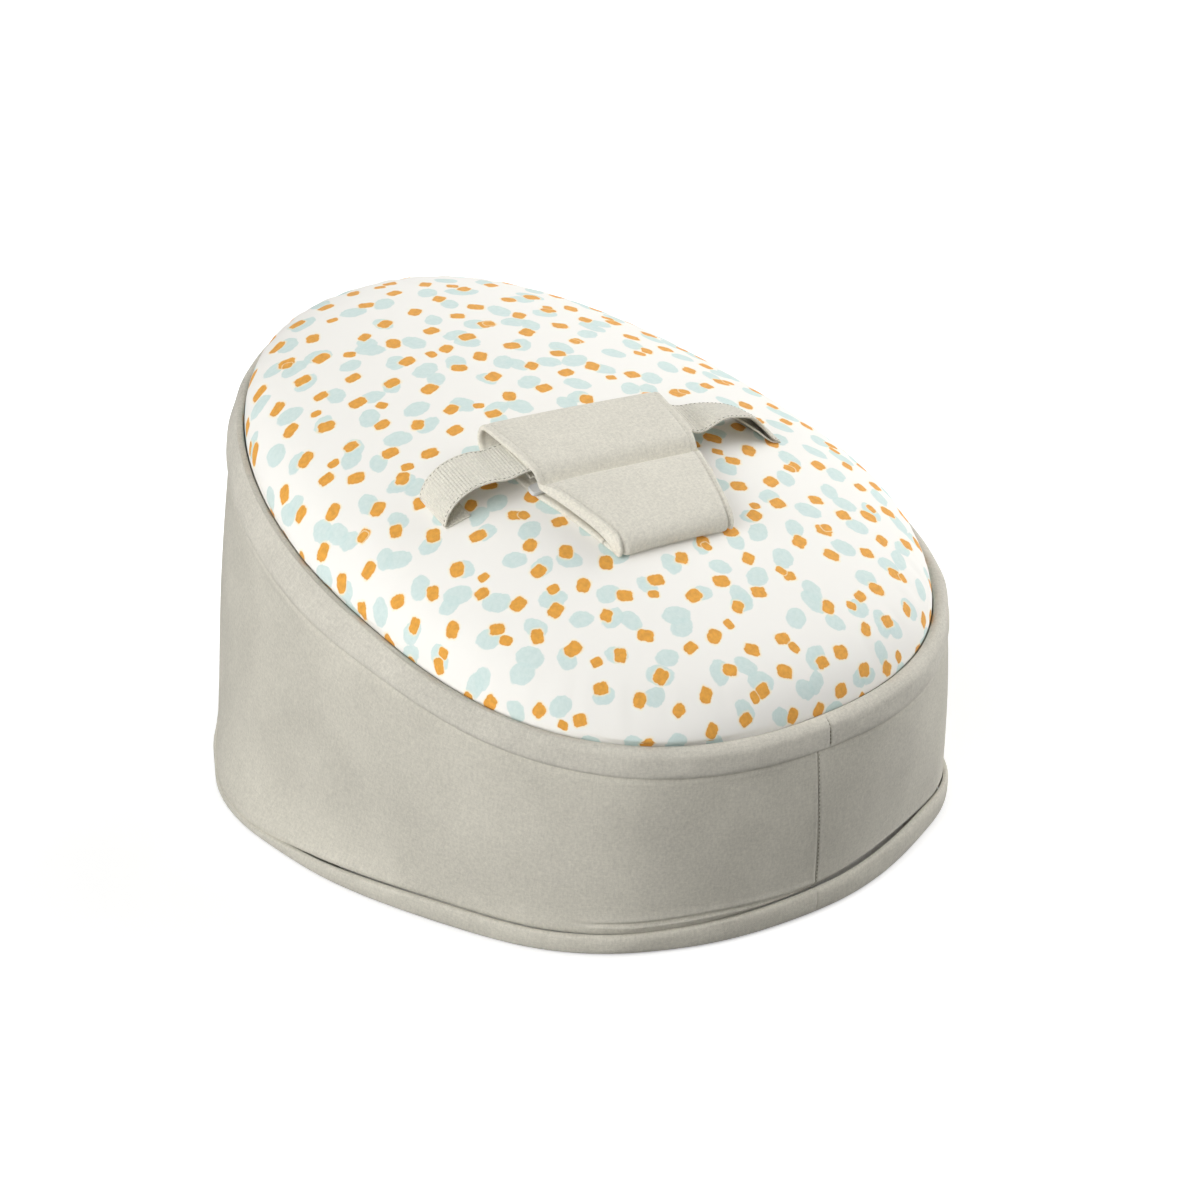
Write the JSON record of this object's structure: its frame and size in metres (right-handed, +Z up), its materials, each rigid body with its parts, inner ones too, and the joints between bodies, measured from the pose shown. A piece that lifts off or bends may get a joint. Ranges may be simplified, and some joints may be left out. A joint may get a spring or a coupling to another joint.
{
  "type": "baby beanbag seat",
  "caption": "Oval baby beanbag seat: sloped canvas body with a padded rim, a zip-off crowned cover and a harness with waist webbing, buckle and crotch flap.",
  "frame": {"origin": "on the floor, under the middle of the base's outline", "axes": "Z is up, -Y points to the low foot end, +X to the right of someone looking from the foot end to the head end"},
  "size_m": [0.4986, 0.6082, 0.3303],
  "materials": {
    "canvas": "plain-woven canvas, matt",
    "rim_canvas": "plain-woven canvas over wadding, matt",
    "printed_cloth": "smooth cotton with a printed dab pattern, matt",
    "strap_cloth": "quilted cotton, topstitched hems, matt",
    "webbing": "ribbed webbing, matt",
    "hook_and_loop": "hook and loop pile",
    "zip_tape": "woven zip tape, matt",
    "zip_coil": "moulded nylon coil",
    "zip_metal": "die-cast, satin",
    "buckle_plastic": "moulded acetal, satin",
    "liner": "thin non-woven liner",
    "wadding": "polyester wadding",
    "beads": "expanded polystyrene beads"
  },
  "bodies": {
    "root": {"base_panel_left": "canvas", "base_panel_right": "canvas", "fill_zip_tape_left": "zip_tape", "fill_zip_tape_right": "zip_tape", "fill_zip_coil_left": "zip_coil", "fill_zip_coil_right": "zip_coil", "fill_zip_stop_foot": "zip_metal", "fill_zip_stop_head": "zip_metal", "bottom_band_left": "canvas", "bottom_band_right": "canvas", "side_wall_left": "canvas", "side_wall_right": "canvas", "rim_band": "rim_canvas", "rim_wadding": "wadding", "rim_zip_tape_outer": "zip_tape", "rim_zip_coil_outer": "zip_coil", "inner_bag": "liner", "bead_filling": "beads"},
    "fill_slider": {"fill_zip_slider": "zip_metal"},
    "rim_slider": {"rim_zip_slider": "zip_metal"},
    "cover": {"seat_cover": "printed_cloth", "rim_zip_tape_inner": "zip_tape", "rim_zip_coil_inner": "zip_coil", "waist_strap_right": "webbing", "buckle_socket": "buckle_plastic", "crotch_strap": "strap_cloth", "loop_strip": "hook_and_loop"},
    "flap": {"crotch_flap": "strap_cloth", "hook_strip": "hook_and_loop"},
    "prongs": {"buckle_prongs": "buckle_plastic", "waist_strap_left": "webbing"}
  },
  "joints": [
    {"name": "fill_zip_slide", "type": "slide", "parent": "root", "child": "fill_slider", "axis": [0, -1, 0], "range_m": [0, 0.36]},
    {"name": "rim_zip_slide", "type": "hinge", "parent": "root", "child": "rim_slider", "pos_m": [0, 0.0479, 0.19076], "axis": [0, -0.3257, 0.9455], "range_deg": [0, 15]},
    {"name": "cover_lift", "type": "slide", "parent": "root", "child": "cover", "axis": [0, 0, 1], "range_m": [0, 0.12]},
    {"name": "flap_open", "type": "hinge", "parent": "cover", "child": "flap", "pos_m": [-0.00878, -0.02974, 0.3274], "axis": [-0.9877, 0.1564, 0.0003], "range_deg": [0, 150]},
    {"name": "buckle_release", "type": "slide", "parent": "cover", "child": "prongs", "axis": [-0.9877, 0.1564, 0.0003], "range_m": [0, 0.025]}
  ]
}
